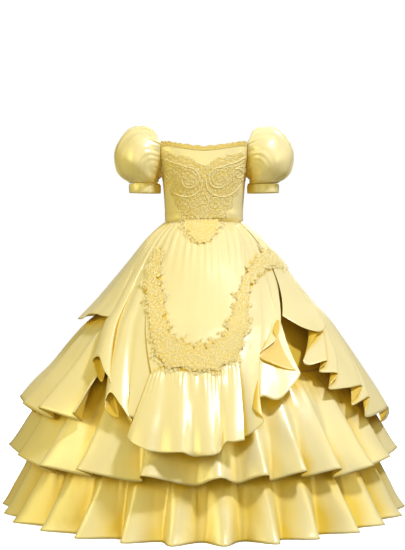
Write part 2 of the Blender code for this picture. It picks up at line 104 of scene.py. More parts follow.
def satin_with_painted_shade(name, light, deep):
    """Duchess satin with painted light and shade: a golden yellow ground, painted paler where the cloth
    stands out and deeper gold in folds and recesses, broad gloss and fine weave.
    """
    material = bpy.data.materials.new(name)
    material.use_nodes = True
    nodes, links = material.node_tree.nodes, material.node_tree.links
    shader = nodes["Principled BSDF"]
    place = nodes.new("ShaderNodeTexCoord")
    # Painted light and shade: the 'open' value set on each point picks the satin's colour, from deep gold to
    # pale.
    stand = nodes.new("ShaderNodeAttribute")
    stand.attribute_name = "open"
    cloud = nodes.new("ShaderNodeTexNoise")
    cloud.inputs["Scale"].default_value = 9.0
    cloud.inputs["Detail"].default_value = 2.0
    links.new(place.outputs["Object"], cloud.inputs["Vector"])
    mixed = nodes.new("ShaderNodeMath")
    mixed.operation = "MULTIPLY_ADD"
    mixed.inputs[1].default_value = 0.10
    links.new(cloud.outputs["Fac"], mixed.inputs[0])
    links.new(stand.outputs["Fac"], mixed.inputs[2])
    # Painted shade and light: low values give the deep gold, high values the pale tone.
    tone = nodes.new("ShaderNodeValToRGB")
    tone.color_ramp.elements[0].position = 0.26
    tone.color_ramp.elements[0].color = deep
    tone.color_ramp.elements[1].position = 0.90
    tone.color_ramp.elements[1].color = light
    links.new(mixed.outputs[0], tone.inputs["Fac"])
    links.new(tone.outputs["Color"], shader.inputs["Base Color"])
    weave_uv = nodes.new("ShaderNodeUVMap")
    weave_uv.uv_map = "cloth"
    weave = nodes.new("ShaderNodeTexWave")
    weave.wave_type = "BANDS"
    weave.bands_direction = "DIAGONAL"
    weave.inputs["Scale"].default_value = 420.0
    weave.inputs["Distortion"].default_value = 1.5
    links.new(weave_uv.outputs["UV"], weave.inputs["Vector"])
    drape = nodes.new("ShaderNodeTexNoise")
    drape.inputs["Scale"].default_value = 26.0
    drape.inputs["Detail"].default_value = 3.0
    links.new(place.outputs["Object"], drape.inputs["Vector"])
    soft = nodes.new("ShaderNodeBump")
    soft.inputs["Strength"].default_value = 0.10
    soft.inputs["Distance"].default_value = 0.012
    links.new(drape.outputs["Fac"], soft.inputs["Height"])
    fine = nodes.new("ShaderNodeBump")
    fine.inputs["Strength"].default_value = 0.05
    fine.inputs["Distance"].default_value = 0.0004
    links.new(weave.outputs["Fac"], fine.inputs["Height"])
    links.new(soft.outputs["Normal"], fine.inputs["Normal"])
    links.new(fine.outputs["Normal"], shader.inputs["Normal"])
    shader.inputs["Roughness"].default_value = 0.33
    shader.inputs["Specular IOR Level"].default_value = 1.0
    shader.inputs["Sheen Weight"].default_value = 0.25
    shader.inputs["Sheen Roughness"].default_value = 0.45
    shader.inputs["Anisotropic"].default_value = 0.3
    shader.inputs["Coat Weight"].default_value = 0.35
    shader.inputs["Coat Roughness"].default_value = 0.24
    return material


# Painted light and shade: the pale colour is the painted lit tone and the deep gold is the painted shaded
# tone.
satin = satin_with_painted_shade("yellow_satin", (0.87, 0.79, 0.50, 1), (0.81, 0.58, 0.06, 1))
# Painted shade: the inner face of every cloth wall is a deeper gold than the face. Its higher roughness is
# the duller back of the satin.
satin_reverse_painted_shade = satin_with_painted_shade("satin_reverse_painted_shade", (0.80, 0.62, 0.11, 1), (0.72, 0.50, 0.04, 1))
satin_reverse_painted_shade.node_tree.nodes["Principled BSDF"].inputs["Roughness"].default_value = 0.5
# Painted shade: a dark olive colour on the rim of every cloth wall, standing for the shaded line along each
# hem edge.
hem_edge_shade = bpy.data.materials.new("hem_edge_shade")
hem_edge_shade.use_nodes = True
hem_edge_shade.node_tree.nodes["Principled BSDF"].inputs["Base Color"].default_value = (0.40, 0.30, 0.05, 1)
hem_edge_shade.node_tree.nodes["Principled BSDF"].inputs["Roughness"].default_value = 0.6
cloth_grids = []


def sew_cloth(name, points, stand=None, closed=False, wall=0.0007, material=None):
    """A thin wall of cloth on a grid of points, columns left to right and rows top to bottom."""
    columns, rows = points.shape[:2]
    loop = columns if closed else columns - 1
    i = np.arange(loop)[:, None]
    j = np.arange(rows - 1)[None, :]
    after = (i + 1) % columns
    corners = np.stack([i * rows + j, i * rows + j + 1, after * rows + j + 1, after * rows + j], -1)
    mesh = bpy.data.meshes.new(name)
    mesh.from_pydata(points.reshape(-1, 3).tolist(), [], corners.reshape(-1, 4).tolist())
    # Painted light and shade: the tone given for each point is stored as the 'open' value that the satin
    # colour reads. The fold-depth section below redoes it.
    tone = np.full((columns, rows), 0.5) if stand is None else stand + np.zeros((columns, rows))
    mesh.attributes.new("open", "FLOAT", "POINT").data.foreach_set("value", tone.ravel())
    widths = np.linalg.norm(np.diff(points, axis=0), axis=2).mean(axis=1)
    drops = np.linalg.norm(np.diff(points, axis=1), axis=2).mean(axis=0)
    u = np.concatenate([[0], np.cumsum(widths)])
    u = np.append(u, u[-1] + widths.mean())
    v = np.concatenate([[0], np.cumsum(drops)])
    spots = np.stack([np.stack([u[i], u[i], u[i + 1], u[i + 1]], -1) + 0 * corners,
                      np.stack([v[j], v[j + 1], v[j + 1], v[j]], -1) + 0 * corners], -1)
    mesh.uv_layers.new(name="cloth").data.foreach_set("uv", spots.ravel())
    piece = bpy.data.objects.new(name, mesh)
    bpy.context.scene.collection.objects.link(piece)
    # Slots: the satin face, the reverse with painted shade, and the rim painted dark as shade along the hem
    # edge.
    mesh.materials.append(material or satin)
    mesh.materials.append(material or satin_reverse_painted_shade)
    mesh.materials.append(material or hem_edge_shade)
    thick = piece.modifiers.new("Wall", "SOLIDIFY")
    thick.thickness = wall
    thick.offset = 1.0
    thick.material_offset = 1
    # Painted shade: the rim of each wall takes the dark hem-edge colour.
    thick.material_offset_rim = 2
    mesh.shade_smooth()
    cloth_grids.append((mesh, columns, rows, closed, tone))
    return piece


def fit_on_dress(piece, *solids, slot="satin"):
    """The piece stands for the named solids, which ride on the dress's one body."""
    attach(piece, "root")
    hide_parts(*solids)


turn = np.linspace(0, 360, 161)[:-1, None]
height = np.linspace(WAIST - 0.0014, 0.194, 40)[None, :] + 0 * turn
crease = 0.0035 * np.exp(-((turn - (24.5 - (height - 0.35) * 26)) / 0.9) ** 2)
radius = through_rows(FOUNDATION_RADIUS, height) + crease
foundation_points = on_skirt(radius, turn, height)
foundation = sew_cloth("skirt_foundation", foundation_points, closed=True)
fit_on_dress(foundation, "base_skirt")

# Gathered tiers
# Three deep flounces of satin, gathered at the top and sewn round the foundation. Fine gathers
# run together into broad flutes whose lifted hems roll over their neighbours.
TIER_RADIUS = {
    "lower_tier": ((0.000, 0.476), (0.060, 0.450), (0.120, 0.425), (0.160, 0.4095),
                   (0.200, 0.3942)),
    "middle_tier": ((0.110, 0.468), (0.134, 0.460), (0.160, 0.449), (0.200, 0.4295),
                    (0.250, 0.403), (0.300, 0.372), (0.330, 0.347), (0.350, 0.3280)),
    "upper_tier": ((0.230, 0.441), (0.252, 0.433), (0.300, 0.404), (0.354, 0.360),
                   (0.416, 0.316), (0.450, 0.2855), (0.480, 0.2480)),
}
LOWER_FLUTES = ((-84, 1.0), (-70, 0.8), (-57, 1.1), (-44, 0.8), (-31, 1.1), (-19, 0.8), (-7, 1.0),
                (5, 0.9), (17, 1.1), (29, 0.8), (41, 1.1), (54, 0.9), (67, 1.0), (80, 0.8))
MIDDLE_FLUTES = ((-80, 1.0), (-62, 0.8), (-46, 1.1), (-31, 1.0), (-13, 1.2), (4, 0.8), (15, 0.8),
                 (26, 1.1), (37, 0.9), (49, 1.1), (62, 0.9), (76, 1.0))
UPPER_FLUTES = ((-85, 1.1), (-69, 0.9), (-53, 1.2), (-38, 0.9))
FLUTES_BEHIND = 12
COLUMNS_A_FLUTE = 22


def flutes_behind(front):
    """The front's flutes and evenly spaced ones round the back, in order of angle."""
    step = 180.0 / FLUTES_BEHIND
    return list(front) + [(90 + step * (i + 0.5), 0.9 + 0.15 * math.sin(2.4 * i))
                          for i in range(FLUTES_BEHIND)]


def gathers(across, drop, wide, depth, seed, seam=0.010, fade=0.05):
    """Small gathers below a seam: each wide apart, growing from the stitches and fading unevenly."""
    chance = np.random.default_rng(seed)
    sway = 0.9 * crumple(across, drop * 0.15, wide * 5, seed + 7, 6)
    total = 0 * across
    for share in (0.71, 1.0, 1.43):
        total = total + np.sin(2 * math.pi * across / (wide * share) + chance.uniform(0, 6) + sway)
    uneven = np.clip(0.75 + 0.45 * crumple(across, 0 * drop, wide * 4, seed + 13, 8), 0.1, 1.8)
    reach = fade * np.clip(0.9 + 0.5 * crumple(across, 0 * drop, wide * 3, seed + 17, 8), 0.35, 2.0)
    return depth * uneven * np.clip(drop / seam, 0, 1) * np.exp(-(drop / reach) ** 1.3) * total / 1.7


def flounce(name, flutes, depth, lift, lean, seam, hem, rows, closed, seed):
    """Grid of a gathered tier and its painted light and shade, 0 to 1: paler on flute crests and gather
    ridges, deeper gold in the valleys and over the whole lower tier.
    """
    count = len(flutes)
    crests = [(i, flute[0]) for i, flute in enumerate(flutes)]
    depths = [(i, flute[1]) for i, flute in enumerate(flutes)]
    if closed:
        crests = [(-1, flutes[-1][0] - 360)] + crests + [(count, flutes[0][0] + 360)]
        depths = [(-1, flutes[-1][1])] + depths + [(count, flutes[0][1])]
        phase = np.arange(count * COLUMNS_A_FLUTE) / COLUMNS_A_FLUTE
    else:
        phase = np.linspace(0, count - 1, (count - 1) * COLUMNS_A_FLUTE + 1)
    phase = phase[:, None]
    down = np.linspace(0, 1, rows)[None, :]
    degrees = through_rows(crests, phase)
    spacing = np.abs(through_rows(crests, np.minimum(phase + 0.5, crests[-1][0])) - degrees) * 2
    spacing = np.clip(spacing, 8, 20)
    side = np.clip(np.sin(np.radians(degrees)) * 1.6, -1, 1)
    wave = np.cos(2 * math.pi * phase) + 0.12 * np.cos(4 * math.pi * phase + 0.7)
    grown = down ** 1.25
    out = depth * through_rows(depths, phase) * grown
    lip = np.clip((down - 0.82) / 0.18, 0, 1) ** 2
    across = np.radians(degrees) * through_rows(TIER_RADIUS[name], seam)
    drop = (seam - hem) * 1.2 * down + 0 * across
    minor = (gathers(across, drop, 0.013, 0.0018, seed, 0.008, 0.040)
             + gathers(across, drop, 0.029, 0.0030, seed + 5, 0.03, 0.095))
    slack = (0.0012 * crumple(across, drop * 0.35, 0.05, seed + 9)
             + 0.0030 * crumple(across, drop * 0.20, 0.13, seed + 19, 8)) * down
    degrees = degrees + lean * side * spacing * wave * grown
    degrees = degrees + 0.35 * crumple(across, drop * 0.4, 0.12, seed + 3) * down
    ripple = 0.0035 * crumple(across, 0 * drop, 0.16, seed + 21, 6) * (hem > 0)
    height = seam + (hem + lift * wave + ripple - seam) * down
    radius = through_rows(TIER_RADIUS[name], height) + out * wave + minor + slack
    radius = radius + 0.004 * lip * (wave > 0) * wave
    # Painted light and shade: crests and gather ridges paler, valleys deeper, and the whole lower tier deeper
    # gold as painted shade under the middle tier.
    stand = 0.5 + 0.55 * wave * grown + 60 * minor - (0.60 if hem == 0 else 0.0)
    return on_skirt(radius, degrees, height), stand


TIERS = (
    ("lower_tier", flutes_behind(LOWER_FLUTES), 0.019, 0.0, 0.20, 0.200, 0.0, 34, True, 11),
    ("middle_tier", flutes_behind(MIDDLE_FLUTES), 0.019, 0.010, 0.25, 0.350, 0.134, 36, True, 23),
    ("upper_tier", [(-245 + 15.3 * i, 0.9 + 0.15 * math.sin(1.7 * i)) for i in range(10)]
     + list(UPPER_FLUTES), 0.019, 0.012, 0.25, 0.480, 0.252, 36, False, 37),
)
for name, flutes, depth, lift, lean, seam, hem, rows, closed, seed in TIERS:
    points, stand = flounce(name, flutes, depth, lift, lean, seam, hem, rows, closed, seed)
    tier = sew_cloth(name + "_satin", points, stand, closed)
    fit_on_dress(tier, name)

# Overskirt, apron and its ruffle
# Satin panels gathered into the waist over the tiers. The left one is held up short at the hip,
# the right ones end in cascading folds, and a gathered ruffle is sewn under the apron.
PANEL_RADIUS = ((0.200, 0.449), (0.250, 0.428), (0.292, 0.405), (0.354, 0.368), (0.416, 0.328),
                (0.456, 0.301), (0.500, 0.262), (0.550, 0.222), (0.606, 0.179), (0.640, 0.151),
                (0.663, 0.130), (0.680, 0.1115), (0.6955, 0.0936))
# A row for each fold line: angle at the waist, half way and at the hem, hem height, stand-off in mm
LEFT_FOLDS = (
    (-94, -94, -92, 0.456, 9), (-88, -86, -80, 0.458, 13), (-82, -79, -72, 0.461, 10),
    (-76, -71, -65, 0.474, 14), (-71, -64, -55, 0.473, 12), (-67, -58, -43, 0.456, 8),
    (-64, -55, -36, 0.335, 8), (-61, -53, -43, 0.373, 16), (-58, -50, -40, 0.386, 25),
    (-56, -47, -35, 0.360, 28), (-54, -45, -31, 0.333, 22), (-52, -43, -26, 0.262, 6),
    (-50, -41, -31, 0.279, 14), (-48, -39, -30, 0.314, 24), (-46, -36, -25, 0.285, 20),
    (-44, -33, -21, 0.248, 4), (-42, -30, -23, 0.264, 10), (-40, -27, -18, 0.262, 5),
    (-38, -24.5, -13, 0.262, 0))
RIGHT_FRONT_FOLDS = (
    (44, 13, 5, 0.232, 0), (47, 17, 8, 0.227, 3), (50, 20, 11, 0.226, 11),
    (52, 23, 14.5, 0.244, 22), (54, 26, 16.5, 0.262, 30), (55, 28, 15, 0.278, 27),
    (56, 29, 14.3, 0.288, 18), (57, 30, 16, 0.300, 10), (58, 32, 19, 0.307, 6),
    (59, 34, 23, 0.300, 14), (60, 37, 28, 0.325, 24), (61, 39, 33, 0.355, 28),
    (62, 40, 29, 0.362, 21), (63, 41, 24, 0.376, 12), (64, 43, 20.5, 0.388, 6),
    (65, 46, 22.5, 0.404, 11), (66, 50, 28.5, 0.426, 17), (67, 53, 29.5, 0.447, 11),
    (68, 57, 36, 0.478, 3))
RIGHT_FOLDS = (
    (64, 55, 37.5, 0.476, 10), (67, 59, 44, 0.449, 20), (70, 63, 52, 0.438, 26),
    (73, 66, 58, 0.449, 28), (76, 66, 48, 0.424, 16), (78, 64, 39, 0.381, 5),
    (80, 66, 40, 0.367, 8), (82, 69, 47, 0.375, 25), (84, 68, 44, 0.351, 5),
    (86, 72, 50, 0.345, 24), (88, 71, 45, 0.314, 5), (90, 75, 53, 0.311, 14),
    (92, 79, 61, 0.310, 24), (94, 77, 53, 0.272, 5), (96, 82, 62, 0.285, 24),
    (98, 81, 58, 0.242, 5), (101, 88, 78, 0.247, 22), (104, 87, 69, 0.220, 6),
    (107, 97, 91, 0.236, 20), (110, 104, 101, 0.226, 7), (113, 111, 109, 0.238, 14))
APRON_FOLDS = (
    (-44, -31, -18, 0.352, 0), (-33, -23.5, -13, 0.364, 0), (-22, -16, -8.5, 0.360, 0),
    (-11, -8.5, -3.5, 0.356, 0), (1, 0, 1.5, 0.358, 0), (14, 8.5, 6, 0.366, 0),
    (30, 16.5, 9.5, 0.380, 0), (48, 24, 12.5, 0.396, 0))
WAIST_GATHER = 0.0028
WAIST_GATHER_DEG = 7.2


def fold_columns(folds, samples):
    """Every column of a fold table as a smooth run across the panel."""
    across = np.linspace(0, len(folds) - 1, (len(folds) - 1) * samples + 1)
    return [through_rows([(i, row[n]) for i, row in enumerate(folds)], across)[:, None]
            for n in range(len(folds[0]))]


def gather_swell(down):
    """How far the waist gathers stand out, from the seam to the hem."""
    return np.exp(-((down - 0.14) / 0.15) ** 2) + 0.10 * down * (1 - down)


def waist_gather(waist):
    """Uneven gathers round the waist, each of its own depth."""
    uneven = 1 + 0.55 * np.sin(np.radians(waist) * 7.3 + 1.1) * np.sin(np.radians(waist) * 11.9 + 0.4)
    sway = 2.0 * np.sin(np.radians(waist) * 5.3)
    return WAIST_GATHER * 0.5 * uneven * (1 - np.cos(np.radians(waist + sway) * 360 / WAIST_GATHER_DEG))


def waist_panel(folds, samples, rows, seed, ease=0.0, hem_ease=0.0, hang=2.2):
    """Grid of a panel from the waist to its folded hem, and its painted light and shade: paler where the
    cloth stands out, deeper where it sinks.
    """
    waist, middle, hem, hem_height, stand = fold_columns(folds, samples)
    down = np.linspace(0, 1, rows)[None, :] ** 0.9
    top = WAIST - 0.0003
    degrees = (waist * (1 - down) * (1 - 2 * down) + middle * 4 * down * (1 - down)
               + hem * down * (2 * down - 1))
    height = top + (hem_height - top) * down
    edge = np.clip(np.minimum(waist - waist[0], waist[-1] - waist) / 5.0, 0, 1)
    puff = waist_gather(waist) * edge
    across = np.radians(waist) * 0.10
    drop = (top - hem_height) * 1.2 * down
    small = gathers(across, drop, 0.0062, 0.0010, seed, 0.012, 0.050) * edge
    slack = 0.0010 * crumple(np.radians(degrees) * 0.3, drop * 0.3, 0.05, seed + 4) * down * edge
    radius = through_rows(PANEL_RADIUS, height) + ease + (hem_ease - ease) * down
    radius = radius + puff * gather_swell(down) + stand * 0.001 * down ** hang + small + slack
    # Painted light and shade: paler where a fold or gather stands out, deeper gold where it sinks.
    tone = (0.5 + (stand / 28 - 0.45) * 0.5 * down ** 1.5 + 120 * small
            + 45 * (puff - 0.0014) * gather_swell(down))
    return on_skirt(radius, degrees, height), tone


back_folds = [(deg, deg, deg, 0.456, 6 + 5 * math.cos(i * math.pi))
              for i, deg in enumerate(np.linspace(-246, -102, 13))]
PANELS = (
    ("overskirt_left", back_folds + list(LEFT_FOLDS), 12, 60, 41, 0.0, 0.0, 2.2),
    ("overskirt_right_front", RIGHT_FRONT_FOLDS, 14, 60, 43, 0.0, 0.0, 2.8),
    ("overskirt_right", RIGHT_FOLDS, 16, 60, 47, 0.0026, 0.0026, 2.2),
    ("apron", APRON_FOLDS, 18, 70, 53, 0.0033, 0.0062, 2.2),
)
for name, folds, samples, rows, seed, ease, hem_ease, hang in PANELS:
    points, stand = waist_panel(folds, samples, rows, seed, ease, hem_ease, hang)
    panel = sew_cloth(name + "_satin", points, stand)
    fit_on_dress(panel, name)

# Ruffle: seam angle and height, hem angle and height, stand-off in mm
RUFFLE_FOLDS = (
    (-18.5, 0.351, -21.5, 0.223, 10), (-17, 0.356, -19.0, 0.214, 22),
    (-14.5, 0.362, -15.0, 0.203, 27), (-12, 0.362, -11.8, 0.196, 16),
    (-9, 0.359, -8.2, 0.198, 25), (-6, 0.357, -5.5, 0.199, 26),
    (-3.5, 0.356, -3.2, 0.189, 13), (-1, 0.356, -0.5, 0.191, 23),
    (2, 0.3585, 2.3, 0.193, 25), (5, 0.3635, 4.2, 0.199, 12),
    (7.5, 0.371, 5.6, 0.219, 22), (10, 0.382, 8.0, 0.221, 27), (12.5, 0.395, 10.5, 0.223, 25))
seam_deg, seam_height, hem_deg, hem_height, stand = fold_columns(RUFFLE_FOLDS, 18)
down = np.linspace(0, 1, 44)[None, :]
degrees = seam_deg + (hem_deg - seam_deg) * down
seam_height = seam_height + 0.004
height = seam_height + (hem_height - seam_height) * down
across = np.radians(seam_deg) * 0.37
drop = (seam_height - hem_height) * 1.2 * down
small = (gathers(across, drop, 0.012, 0.0020, 61, 0.008, 0.030)
         + gathers(across, drop, 0.034, 0.0024, 67, 0.02, 0.08))
radius = through_rows(PANEL_RADIUS, height) + 0.0085 + stand * 0.001 * down ** 1.1 + small
ruffle_points = on_skirt(radius, degrees, height)
# Painted light and shade: paler where the ruffle's folds and gathers stand out, deeper where they sink.
tone = 0.5 + (stand / 27 - 0.6) * 0.6 * down + 60 * small
ruffle = sew_cloth("front_ruffle_satin", ruffle_points, tone)
fit_on_dress(ruffle, "front_ruffle")

# Bodice
# A fitted satin bodice of one front and two backs, closed at the centre back by a hidden zip.
# It is smooth over the bust, with faint pulls at the waist seam.
BODICE_RINGS = ((0.6955, 0.0955, 0.0765, 0.0765), (0.720, 0.0950, 0.0780, 0.0755),
                (0.760, 0.0975, 0.0820, 0.0760), (0.800, 0.1015, 0.0880, 0.0780),
                (0.830, 0.1075, 0.0890, 0.0790), (0.860, 0.1170, 0.0850, 0.0790),
                (0.890, 0.1260, 0.0790, 0.0780))
BODICE_SQUARENESS = ((0.6955, 1.0), (0.760, 0.92), (0.830, 0.78), (0.890, 0.66))
NECK_EDGE = ((0, 0.8745), (12, 0.8785), (26, 0.8835), (40, 0.8865), (49, 0.8840), (58, 0.8610),
             (70, 0.8270), (80, 0.8105), (90, 0.8060), (100, 0.8105), (110, 0.8270), (121, 0.8600),
             (131, 0.8850), (150, 0.8830), (180, 0.8810))


def on_bodice(degrees, height, out=0.0):
    """Points on the bodice from angle and height, moved out by a distance."""
    half_width = through_rows([(r[0], r[1]) for r in BODICE_RINGS], height) + out
    front = through_rows([(r[0], r[2]) for r in BODICE_RINGS], height) + out
    back = through_rows([(r[0], r[3]) for r in BODICE_RINGS], height) + out
    power = through_rows(BODICE_SQUARENESS, height)
    angle = np.radians(degrees)
    sine, cosine = np.sin(angle), np.cos(angle)
    x = half_width * np.sign(sine) * np.abs(sine) ** power
    depth = np.where(cosine >= 0, front, back)
    y = -depth * np.sign(cosine) * np.abs(cosine) ** power
    return np.stack([x, y, height - WAIST + 0 * x], axis=-1)


for name, start, end, columns, rows in (("bodice_front", -89.75, 89.75, 120, 56),
                                        ("bodice_back_right", 90.25, 179.875, 60, 44),
                                        ("bodice_back_left", 180.125, 269.75, 60, 44)):
    degrees = np.linspace(start, end, columns)[:, None]
    top = through_rows(NECK_EDGE, np.abs((degrees + 180) % 360 - 180))
    height = WAIST - 0.0010 + (top - WAIST + 0.0010) * np.linspace(1, 0, rows)[None, :]
    near_waist = np.exp(-((height - WAIST) / 0.05) ** 2)
    pull = 0.0006 * crumple(np.radians(degrees) * 0.03, height, 0.022, 71) * near_waist
    tuck = 0.0020 * np.exp(-((height - WAIST) / 0.0035) ** 2)
    points = on_bodice(degrees + 0 * height, height, 0.0008 + pull - tuck)
    # Painted light and shade: the waist pulls are painted paler on their ridges and deeper in their hollows.
    panel = sew_cloth(name + "_satin", points, 0.55 + 250 * pull)
    fit_on_dress(panel, name)

# Puff sleeves and their bands
# Short round puffs, gathered into the armhole and the free neck edge and again into a narrow
# band. The gathers fan out from both seams and leave the middle smooth.
SLEEVE_RINGS = ((0.150, 0.9305, 0.1125, 0.8000, 0.074), (0.190, 0.9180, 0.1130, 0.7960, 0.080),
                (0.2190, 0.8700, 0.1128, 0.7930, 0.078), (0.2130, 0.8200, 0.1115, 0.7905, 0.062),
                (0.1835, 0.7920, 0.1078, 0.7885, 0.0385))
CORNER_FRONT, CORNER_BACK, FREE_EDGE = 49.0, 131.0, 62.0
SHOULDER_X, SHOULDER_HEIGHT = 0.1235, 0.9245


def armhole_edge(around):
    """The sleeve's top edge: armhole seam below, free neck edge above. 0 is the shoulder, 90 the front."""
    edge = np.zeros((len(around), 3))
    for i, turned in enumerate(around):
        folded = turned if turned <= 180 else 360 - turned
        end = CORNER_FRONT if turned <= 180 else CORNER_BACK
        if folded >= FREE_EDGE:
            share = (folded - FREE_EDGE) / (180 - FREE_EDGE)
            degrees = np.array(end + (90 - end) * share)
            spot = on_bodice(degrees, through_rows(NECK_EDGE, degrees), 0.0025)
        else:
            spot = on_bodice(np.array(end), through_rows(NECK_EDGE, end), 0.0025)
            share = math.cos(math.radians(90 * folded / FREE_EDGE))
            spot[0] += (SHOULDER_X - spot[0]) * share
            spot[1] *= math.sin(math.radians(90 * folded / FREE_EDGE))
            spot[2] += (SHOULDER_HEIGHT - WAIST - spot[2]) * share
        spot[2] += 0.0004
        edge[i] = spot
    return edge


def puff_sleeve(side, seed):
    """Grid of a sleeve from the armhole to the band, with gathers fanning from both."""
    around = np.arange(180) * 2.0
    angle = np.radians(around)
    rings = [armhole_edge(around)]
    for out_x, out_height, in_x, in_height, half_depth in SLEEVE_RINGS:
        outer = np.array([out_x, 0.0, out_height - WAIST])
        inner = np.array([in_x, 0.0, in_height - WAIST])
        ring = (outer + inner) / 2 + np.outer(np.cos(angle), (outer - inner) / 2)
        ring[:, 1] -= half_depth * np.sin(angle)
        rings.append(ring)
    rings = np.stack(rings)
    along = np.linspace(0, 5, 46)
    grid = np.zeros((180, 46, 3))
    for axis in range(3):
        for i in range(180):
            grid[i, :, axis] = through_rows(list(enumerate(rings[:, i, axis])), along)
    middle = grid.mean(axis=0, keepdims=True)
    outward = grid - middle
    outward = outward / np.maximum(np.linalg.norm(outward, axis=2, keepdims=True), 1e-6)
    down = (along / 5)[None, :]
    steps = np.linalg.norm(np.diff(grid, axis=1), axis=2)
    run = np.concatenate([np.zeros((180, 1)), np.cumsum(steps, axis=1)], axis=1)
    whole_run = run[:, -1:]
    run = run * (0.16 / whole_run)
    top = gathers(angle[:, None] * 0.055, run, 0.014, 0.0042, seed, 0.015, 0.045)
    end = gathers(angle[:, None] * 0.040, np.maximum(0.16 - run, 0), 0.012, 0.0046, seed + 3, 0.010, 0.030)
    loose = (1 + np.cos(angle[:, None])) / 2 * 0.8 + 0.2
    loose = loose * np.clip(whole_run / 0.16, 0.3, 1.0)
    puff = (top + end) * loose + 0.0012 * crumple(angle[:, None] * 0.06, down * 0.1, 0.05, seed + 7) * np.sin(math.pi * down)
    grid = grid + outward * puff[:, :, None]
    grid[:, :, 0] *= side
    # Painted light and shade: gathers painted paler where they stand out and deeper gold where they sink.
    stand = 0.55 + 70 * puff
    return (grid[::-1], stand[::-1]) if side > 0 else (grid, stand)


for side, name in ((1, "right"), (-1, "left")):
    points, stand = puff_sleeve(side, 83)
    sleeve = sew_cloth("sleeve_" + name + "_satin", points, stand, closed=True)
    fit_on_dress(sleeve, "sleeve_" + name)
    angle = np.radians(np.arange(96) * 360.0 / 96)[:, None]
    drop = np.linspace(0, 1, 12)[None, :]
    swell = 0.0010 * np.sin(math.pi * drop) + 0.0004 * crumple(angle * 0.0375, drop * 0.02, 0.02, 89)
    x = side * (0.1459 + (0.0375 + swell) * np.cos(angle))
    y = -(0.0375 + swell) * np.sin(angle)
    z = 0.7890 - 0.0216 * drop - WAIST - 0.0017 * (1 - np.cos(angle)) / 2
    points = np.stack([x + 0 * drop, y + 0 * drop, z], axis=-1)
    facing_out = points[::-1] if side > 0 else points
    band = sew_cloth("cuff_" + name + "_satin", facing_out, 0.6, closed=True, wall=0.0012)
    fit_on_dress(band, "cuff_" + name)

# Lace on the skirt
# Corded and beaded floral lace on net, sewn in a U over the apron's seams and on over the hip.
# Blossoms and leaves stand up from the net.
LACE_PATH = ((-38, 0.627, 0.024), (-35, 0.580, 0.028), (-31, 0.546, 0.032), (-25.5, 0.513, 0.035),
             (-21.5, 0.473, 0.036), (-18, 0.443, 0.040), (-14.5, 0.416, 0.050), (-10.5, 0.400, 0.058),
             (-6, 0.392, 0.062), (-1.5, 0.389, 0.064), (3, 0.392, 0.062), (7.5, 0.405, 0.056),
             (11, 0.427, 0.046), (14, 0.458, 0.038), (17, 0.490, 0.034), (21, 0.524, 0.031),
             (27.5, 0.558, 0.028), (38, 0.585, 0.026), (51, 0.603, 0.024), (64, 0.609, 0.024),
             (76, 0.600, 0.024), (86, 0.585, 0.022))
WAIST_LACE_RADIUS = ((0.645, 0.1574), (0.656, 0.1470), (0.668, 0.1345), (0.680, 0.1215),
                     (0.692, 0.1070), (0.7005, 0.0982))


def lace_with_painted_shade(name, light, deep, scale):
    """Matte cotton cord and net: pale raised threads, painted shade making the ground deeper gold inside each
    mesh cell, and a crisp fine bump.
    """
    material = bpy.data.materials.new(name)
    material.use_nodes = True
    nodes, links = material.node_tree.nodes, material.node_tree.links
    shader = nodes["Principled BSDF"]
    place = nodes.new("ShaderNodeTexCoord")
    cells = nodes.new("ShaderNodeTexVoronoi")
    cells.feature = "DISTANCE_TO_EDGE"
    cells.inputs["Scale"].default_value = scale
    links.new(place.outputs["Object"], cells.inputs["Vector"])
    # Painted shade: deep gold inside each cell, pale on the raised threads along the cell edges.
    tone = nodes.new("ShaderNodeValToRGB")
    tone.color_ramp.elements[0].position = 0.04
    tone.color_ramp.elements[0].color = light
    tone.color_ramp.elements[1].position = 0.22
    tone.color_ramp.elements[1].color = deep
    links.new(cells.outputs["Distance"], tone.inputs["Fac"])
    links.new(tone.outputs["Color"], shader.inputs["Base Color"])
    raised = nodes.new("ShaderNodeBump")
    raised.invert = True
    raised.inputs["Strength"].default_value = 0.5
    raised.inputs["Distance"].default_value = 0.0006
    links.new(cells.outputs["Distance"], raised.inputs["Height"])
    links.new(raised.outputs["Normal"], shader.inputs["Normal"])
    shader.inputs["Roughness"].default_value = 0.62
    shader.inputs["Sheen Weight"].default_value = 0.3
    return material


# Painted shade on the lace: the second, deeper colour fills the gaps between the threads of net and cord.
net = lace_with_painted_shade("lace_net", (0.84, 0.70, 0.28, 1), (0.70, 0.49, 0.06, 1), 420.0)
cord_thread = lace_with_painted_shade("lace_cord", (0.90, 0.85, 0.64, 1), (0.84, 0.74, 0.40, 1), 900.0)


def blob(ring, top, foot):
    """A small closed raised shape: a ring of points with one peak above and one below."""
    points = list(ring) + [top, foot]
    count = len(ring)
    faces = [(i, (i + 1) % count, count) for i in range(count)]
    faces += [((i + 1) % count, i, count + 1) for i in range(count)]
    return points, faces


def motif(name, shapes):
    """One object made of several small closed shapes, lying on the XY plane and facing +Z."""
    points, faces = [], []
    for ring, top, foot in shapes:
        more, sides = blob(ring, top, foot)
        faces += [tuple(len(points) + k for k in side) for side in sides]
        points += more
    mesh = bpy.data.meshes.new(name)
    mesh.from_pydata(points, [], faces)
    mesh.update()
    shape = bpy.data.objects.new(name, mesh)
    bpy.context.scene.collection.objects.link(shape)
    return shape


